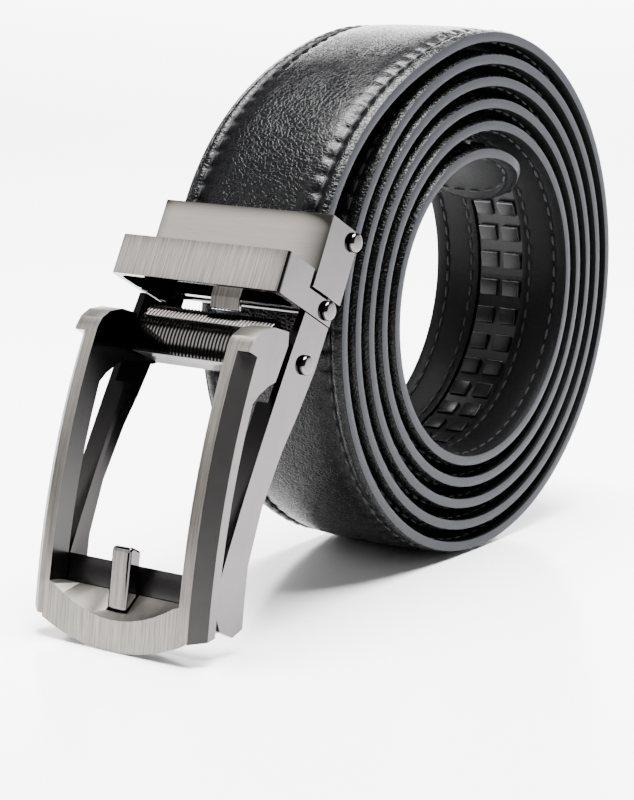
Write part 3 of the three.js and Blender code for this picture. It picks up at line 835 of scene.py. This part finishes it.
class BELT_OT_track(bpy.types.Operator):
    """Makes the sunk adjustment track with its two columns of saw teeth"""
    bl_idname = "belt.track"
    bl_label = "Adjustment track"

    def execute(self, context):
        begin, end = track_span()
        begin, end = begin + GAP, end - GAP
        top = -STRAP_EDGE + GROOVE_DEPTH - GAP
        low = top - 0.3 * MM
        stations = np.arange(begin, end, 1.5 * MM)
        place, _, out = PATH.at(stations)
        section = [(-TRACK_HALF, low), (-TRACK_HALF, top), (TRACK_HALF, top), (TRACK_HALF, low)]
        verts = np.empty((len(stations), 4, 3))
        for c, (x, n) in enumerate(section):
            verts[:, c, 0] = x
            verts[:, c, 1:] = place + out * n
        faces = rows_to_faces(len(stations), 4) + end_faces(len(stations), 4)
        base = piece("track_base", verts.reshape(-1, 3), faces, slots=("track",))
        face_out(base)

        tall = low + STRAP_EDGE + TOOTH_PROUD
        bpy.ops.object.select_all(action="DESELECT")
        bpy.ops.mesh.primitive_cube_add(size=1)
        tooth = context.object
        tooth.scale = (TOOTH_WIDTH, TOOTH_LENGTH, tall)
        tooth.location.z = tall / 2
        bpy.ops.object.transform_apply(location=True, rotation=False, scale=True)
        for vert in tooth.data.vertices:
            if vert.co.z > 0 and vert.co.y > 0:
                vert.co.z -= TOOTH_FALL
        soften(tooth, TOOTH_ROUND, 3)
        # the steep upper face of each tooth gets the light grey plastic: a painted highlight
        ledge_highlight = [int(p.normal.y < -0.3 and p.center.z > 0.35 * tall) for p in tooth.data.polygons]
        shape, tooth_faces = take_shape(tooth)
        verts, faces = [], []
        for k in range(int((end - begin) / TOOTH_PITCH)):
            for side in (-1, 1):
                far = begin + (k + 0.3) * TOOTH_PITCH + TOOTH_LENGTH / 2 + shape[:, 1]
                spot, _, outward = PATH.at(far)
                n = low - shape[:, 2]
                x = shape[:, 0] + side * TOOTH_ASIDE
                start = len(verts) * len(shape)
                verts.append(np.column_stack([x, spot + outward * n[:, None]]))
                faces += [tuple(i + start for i in f) for f in tooth_faces]
        teeth = piece("track_teeth", np.concatenate(verts), faces, slots=("track", "ledge_highlight"),
                      indices=ledge_highlight * len(verts))
        face_out(teeth)
        smooth(teeth, 40)
        join([base, teeth], "track_strip")
        finish(base, "root", "track", "adjustment_track")
        return {"FINISHED"}


def even_normals(obj, index):
    """Shades the faces of one material as one smooth surface."""
    mesh = obj.data
    normals = [corner.vector.copy() for corner in mesh.corner_normals]
    faces = [face for face in mesh.polygons if face.material_index == index]
    sums = {}
    for face in faces:
        for number in face.vertices:
            sums[number] = sums.get(number, Vector()) + face.normal
    for face in faces:
        for loop, number in zip(face.loop_indices, face.vertices):
            normals[loop] = sums[number].normalized()
    mesh.normals_split_custom_set(normals)


def face_slot(node, face, behind):
    """Which of the buckle's materials a face has, by where it looks and how far behind the front it lies;
    faces set back, turned inward or turned back get darker metal as painted shade.
    """
    normal = face.normal
    facing = normal.dot(FACE_NORMAL)
    ahead = math.cos(math.radians(25))
    if node in ("clamp", "keeper"):
        inward = abs(normal.x) > 0.8 and normal.x * face.center.x < 0
        # front faces set back, inner side walls and back faces get the darker metal: painted shade
        if facing > ahead:
            return FRONT if behind < 1 * MM else RECESS_SHADE
        if inward and abs(face.center.x) > 10 * MM or facing < -ahead:
            return RECESS_SHADE
    # the back frame's front and the left arms' inner walls get polished metal with painted shade
    elif facing > ahead:
        return SHADED_POLISH if node == "back_frame" else FRONT
    elif node in ("front_frame", "back_frame") and normal.x > 0.8 and face.center.x < -5 * MM:
        return SHADED_POLISH
    elif node == "front_frame" and facing > 0.2 and normal.dot(UP_STRAP) > 0.4:
        return FACET
    elif node == "front_frame" and facing > 0.2 and abs(normal.x) > 0.4:
        return BEVEL
    return REST


def rounded_copy(node, name, width, front, rest):
    """A copy of a CAD node with its flat faces joined and its edges rounded."""
    alone(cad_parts[node])
    bpy.ops.object.duplicate()
    obj = bpy.context.object
    obj.name = name
    obj.data.name = name
    bpy.ops.object.mode_set(mode="EDIT")
    bpy.ops.mesh.select_all(action="SELECT")
    bpy.ops.mesh.remove_doubles(threshold=0.002 * MM)
    bpy.ops.mesh.dissolve_limited(angle_limit=math.radians(0.3))
    bpy.ops.mesh.tris_convert_to_quads(face_threshold=math.radians(14), shape_threshold=math.radians(70))
    bpy.ops.object.mode_set(mode="OBJECT")
    obj.data.materials.clear()
    for slot in (rest, front, "shaded_polish", "facet", "bevel", "recess_shade"):
        obj.data.materials.append(material(slot))
    soften(obj, width, 2)
    foremost = max((vert.co - BUCKLE).dot(FACE_NORMAL) for vert in obj.data.vertices)
    for face in obj.data.polygons:
        behind = foremost - (face.center - BUCKLE).dot(FACE_NORMAL)
        face.material_index = face_slot(node, face, behind)
    even_normals(obj, FACET)
    return obj


class BELT_OT_plates(bpy.types.Operator):
    """Finishes the clamp, keeper, frames, prong and pawl"""
    bl_idname = "belt.plates"
    bl_label = "Buckle plates"

    def execute(self, context):
        edge = context.scene.belt_metal.edge_round
        plates = [
            ("clamp", "clamp_shell", 1.0, "satin", "polished", "root", "brushed_metal"),
            # the bite inside the clamp is all darker metal: painted shade
            ("clamp_jaw", "clamp_bite", 1.0, "recess_shade", "recess_shade", "root", "polished_metal"),
            ("keeper", "keeper_loop", 1.2, "brushed_keeper", "polished", "buckle", "brushed_metal"),
            ("back_frame", "back_frame_plate", 2.2, "polished", "polished", "buckle", "polished_metal"),
            ("pawl", "pawl_tab", 0.8, "brushed_keeper", "polished", "buckle", "polished_metal"),
            ("front_frame", "front_frame_plate", 1.0, "brushed", "polished", "lever", "brushed_metal"),
            ("prong", "prong_bar", 3.6, "brushed", "polished", "lever", "brushed_metal"),
        ]
        for node, name, factor, front, rest, body, slot in plates:
            plate = rounded_copy(node, name, edge * factor, front, rest)
            finish(plate, body, slot, node)
        return {"FINISHED"}


def cylinder(centre, x, radius, depth):
    """A round bar across the buckle, its middle at x."""
    bpy.ops.object.select_all(action="DESELECT")
    bpy.ops.mesh.primitive_cylinder_add(
        vertices=48, radius=radius, depth=depth, location=(x, centre.y, centre.z),
        rotation=(0, math.pi / 2, 0))
    bpy.ops.object.transform_apply(location=True, rotation=True, scale=True)
    return bpy.context.object


def dome(head, outer):
    """Rounds the edge of a pin's head on its outer side."""
    bpy.ops.object.mode_set(mode="EDIT")
    bpy.ops.mesh.select_all(action="DESELECT")
    bpy.ops.object.mode_set(mode="OBJECT")
    for edge in head.data.edges:
        if all(abs(head.data.vertices[i].co.x - outer) < 0.001 * MM for i in edge.vertices):
            edge.select = True
    bpy.ops.object.mode_set(mode="EDIT")
    bpy.ops.mesh.bevel(offset=HEAD_DOME, segments=6, profile=0.5)
    bpy.ops.object.mode_set(mode="OBJECT")


class BELT_OT_pins(bpy.types.Operator):
    """Turns the three pins with their domed heads"""
    bl_idname = "belt.pins"
    bl_label = "Pins"

    def execute(self, context):
        pins = [
            ("clamp_pin", "clamp_rivet", "root"),
            ("hinge_pin", "hinge_rivet", "buckle"),
            ("lever_pin", "lever_rivet", "buckle"),
        ]
        for node, name, body in pins:
            low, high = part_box(node)
            reach = (high[0] - low[0]) / 2
            centre = middle(node)
            pin = cylinder(centre, 0, PIN_RADIUS, 2 * (reach - HEAD_DEPTH))
            heads = []
            for side in (1, -1):
                head = cylinder(centre, side * (reach - HEAD_DEPTH / 2), HEAD_RADIUS, HEAD_DEPTH)
                dome(head, side * reach)
                heads.append(head)
            join([pin, *heads], name)
            pin.data.materials.append(material("polished"))
            smooth(pin, 40)
            finish(pin, body, "polished_metal", node)
        return {"FINISHED"}


class BELT_OT_ribbed_bar(bpy.types.Operator):
    """Rolls the ribbed bar that the front frame turns with"""
    bl_idname = "belt.ribbed_bar"
    bl_label = "Ribbed bar"

    def execute(self, context):
        ribs = context.scene.belt_metal.ribs
        down, out = LEVER_PIN
        skin = [(ROLLER_RADIUS, turn) for turn in np.linspace(-52, 26, 26)]
        hub = [(ROLLER_HUB, turn) for turn in np.linspace(116, 218, 12)]
        profile = ((0.0, 1), (0.22, 0), (0.42, 0), (0.62, 1))      # along a rib, and whether sunk
        rings = [((rib + share) / ribs, sunk) for rib in range(ribs) for share, sunk in profile]
        rings.append((1, 1))
        verts = []
        for share, sunk in rings:
            x = ROLLER_HALF * (2 * share - 1)
            for radius, turn in skin + hub:
                angle = math.radians(turn)
                r = radius - RIB_DEPTH * sunk
                verts.append(on_buckle(x, down + r * math.sin(angle), out + r * math.cos(angle)))
        rows, columns = len(rings), len(skin + hub)
        faces = rows_to_faces(rows, columns) + end_faces(rows, columns)
        shown = len(skin) - 1
        # the hub's faces, hidden inside the bar, get the darker metal: painted shade
        indices = ([0] * shown + [1] * (columns - shown)) * (rows - 1) + [1, 1]
        bar = piece("ribbed_roller", verts, faces, slots=("polished", "recess_shade"), indices=indices)
        face_out(bar)
        smooth(bar, 35)
        finish(bar, "lever", "polished_metal", "ribbed_bar")
        return {"FINISHED"}


# The stage, in metres and degrees

# Soft panels of the room: where each lies as seen from the belt, its half width and its strength
PANELS = (
    ((-0.35, 0.93, 0.10), 18, 3.0),
    ((0.75, 0.65, 0.05), 22, 3.0),
    ((-0.54, -0.62, 0.56), 17, 3.2),
)
DIM = 0.10                       # strength of the room between them
FLOOR_HALF = 3
FLOOR_FRONT = -2.2
BEND_FROM = 0.3                  # behind the belt
BEND_RADIUS = 1.0
BEND_TO = 60
VIEW_YAW = 33.66
VIEW_PITCH = 11.02
VIEW_ROLL = 1.03
CAMERA_FROM_COIL = (261.8 * MM, -433.1 * MM, 73.4 * MM)
BACKDROP_SHARE = 1.3             # of the power above, on the light behind the belt


def studio():
    """A dim room with soft panels around the belt."""
    world = bpy.data.worlds.new("studio")
    world.use_nodes = True
    tree = world.node_tree
    ground = tree.nodes["Background"]
    ground.inputs[0].default_value = (1, 1, 1, 1)
    place = tree.nodes.new("ShaderNodeTexCoord")
    total = None
    for aim, reach, strength in PANELS:
        dot = tree.nodes.new("ShaderNodeVectorMath")
        dot.operation = "DOT_PRODUCT"
        tree.links.new(place.outputs["Generated"], dot.inputs[0])
        dot.inputs[1].default_value = Vector(aim).normalized()
        inner, outer = math.cos(math.radians(reach * 0.7)), math.cos(math.radians(reach * 1.25))
        panel = Value(tree, dot.outputs["Value"]).between(outer, inner) * strength
        total = panel if total is None else total.larger(panel)
    plug(tree, ground.inputs[1], total + DIM)
    return world


def sweep():
    """A floor that curves up into the backdrop, square to the view."""
    bend = [math.radians(a) for a in range(0, BEND_TO + 1, 3)]
    profile = [(FLOOR_FRONT, 0)]
    profile += [(BEND_FROM + BEND_RADIUS * math.sin(a), BEND_RADIUS * (1 - math.cos(a))) for a in bend]
    turn = Matrix.Rotation(math.radians(VIEW_YAW), 4, "Z")
    verts = [turn @ Vector((x, y, z)) for y, z in profile for x in (-FLOOR_HALF, FLOOR_HALF)]
    floor = piece("floor", verts, rows_to_faces(len(profile), 2, closed=False))
    smooth(floor, 40)
    return floor


def camera_turn(yaw, pitch, roll):
    """A camera's turn from its heading, how far it looks down, and its tilt."""
    yaw, pitch, roll = (math.radians(a) for a in (yaw, pitch, roll))
    ahead = Vector((-math.sin(yaw) * math.cos(pitch), math.cos(yaw) * math.cos(pitch), -math.sin(pitch)))
    right = Vector((math.cos(yaw), math.sin(yaw), 0))
    up = right.cross(ahead)
    level = right * math.cos(roll) + up * math.sin(roll)
    tall = up * math.cos(roll) - right * math.sin(roll)
    return Matrix((level, tall, -ahead)).transposed().to_4x4()


def softbox(name, place, target, wide, tall, power):
    light = bpy.data.lights.new(name, "AREA")
    light.shape = "RECTANGLE"
    light.size = wide
    light.size_y = tall
    light.energy = power
    obj = bpy.data.objects.new(name, light)
    obj.location = place
    obj.rotation_euler = (Vector(target) - Vector(place)).to_track_quat("-Z", "Y").to_euler()
    bpy.context.collection.objects.link(obj)


class BELT_OT_stage(bpy.types.Operator):
    """Sets the floor, the softboxes and the camera"""
    bl_idname = "belt.stage"
    bl_label = "Stage"

    def execute(self, context):
        settings = context.scene.belt_stage
        floor = sweep()
        colour = tuple(settings.floor_colour)
        pale = Paint("floor_paint")
        cloud = pale.noise(pale.object, 3, 2)
        tone = pale.mix(cloud, shade(colour, 0.985), colour)
        floor.data.materials.append(
            pale.set(Base_Color=tone, Roughness=0.17 + cloud * 0.04, Specular_IOR_Level=0.3))

        context.scene.world = studio()
        power = settings.key_power
        softbox("top", (0.04, 0.06, 1.2), (0, 0, 0.06), 0.8, 0.8, power)
        softbox("backdrop", (-0.4, 0.65, 1.0), (-0.9, 1.5, 0.8), 1.6, 0.5, power * BACKDROP_SHARE)

        camera = bpy.data.cameras.new("camera")
        camera.lens = settings.lens
        camera.clip_start = 0.01
        holder = bpy.data.objects.new("camera", camera)
        holder.matrix_world = camera_turn(VIEW_YAW, VIEW_PITCH, VIEW_ROLL)
        across, back, above = CAMERA_FROM_COIL
        holder.location = (across, COIL_Y + back, COIL_Z + above)
        context.collection.objects.link(holder)
        context.scene.camera = holder
        return {"FINISHED"}


PROPERTIES = (
    ("belt_leather", BeltLeather),
    ("belt_metal", BeltMetal),
    ("belt_stage", BeltStage),
)
OPERATORS = (
    BELT_OT_strap, BELT_OT_stitches, BELT_OT_track, BELT_OT_plates, BELT_OT_pins, BELT_OT_ribbed_bar,
    BELT_OT_stage,
)


class BELT_PT_panel(bpy.types.Panel):
    """Lists the belt's pieces and settings"""
    bl_label = "Ratchet Belt"
    bl_idname = "BELT_PT_panel"
    bl_space_type = "VIEW_3D"
    bl_region_type = "UI"
    bl_category = "Belt"

    def draw(self, context):
        for name, kind in PROPERTIES:
            box = self.layout.box()
            for field in kind.__annotations__:
                box.prop(getattr(context.scene, name), field)
        for operator in OPERATORS:
            self.layout.operator(operator.bl_idname)


def register():
    for name, kind in PROPERTIES:
        bpy.utils.register_class(kind)
        setattr(bpy.types.Scene, name, PointerProperty(type=kind))
    for kind in (*OPERATORS, BELT_PT_panel):
        bpy.utils.register_class(kind)


def unregister():
    for kind in reversed((*OPERATORS, BELT_PT_panel)):
        bpy.utils.unregister_class(kind)
    for name, kind in reversed(PROPERTIES):
        delattr(bpy.types.Scene, name)
        bpy.utils.unregister_class(kind)


def plain(box):
    return [[float(v) for v in corner] for corner in box]


def main():
    register()
    bpy.ops.belt.stage()
    bpy.ops.belt.strap()
    bpy.ops.belt.stitches()
    bpy.ops.belt.track()
    bpy.ops.belt.plates()
    bpy.ops.belt.pins()
    bpy.ops.belt.ribbed_bar()


if __name__ == "__main__":
    main()
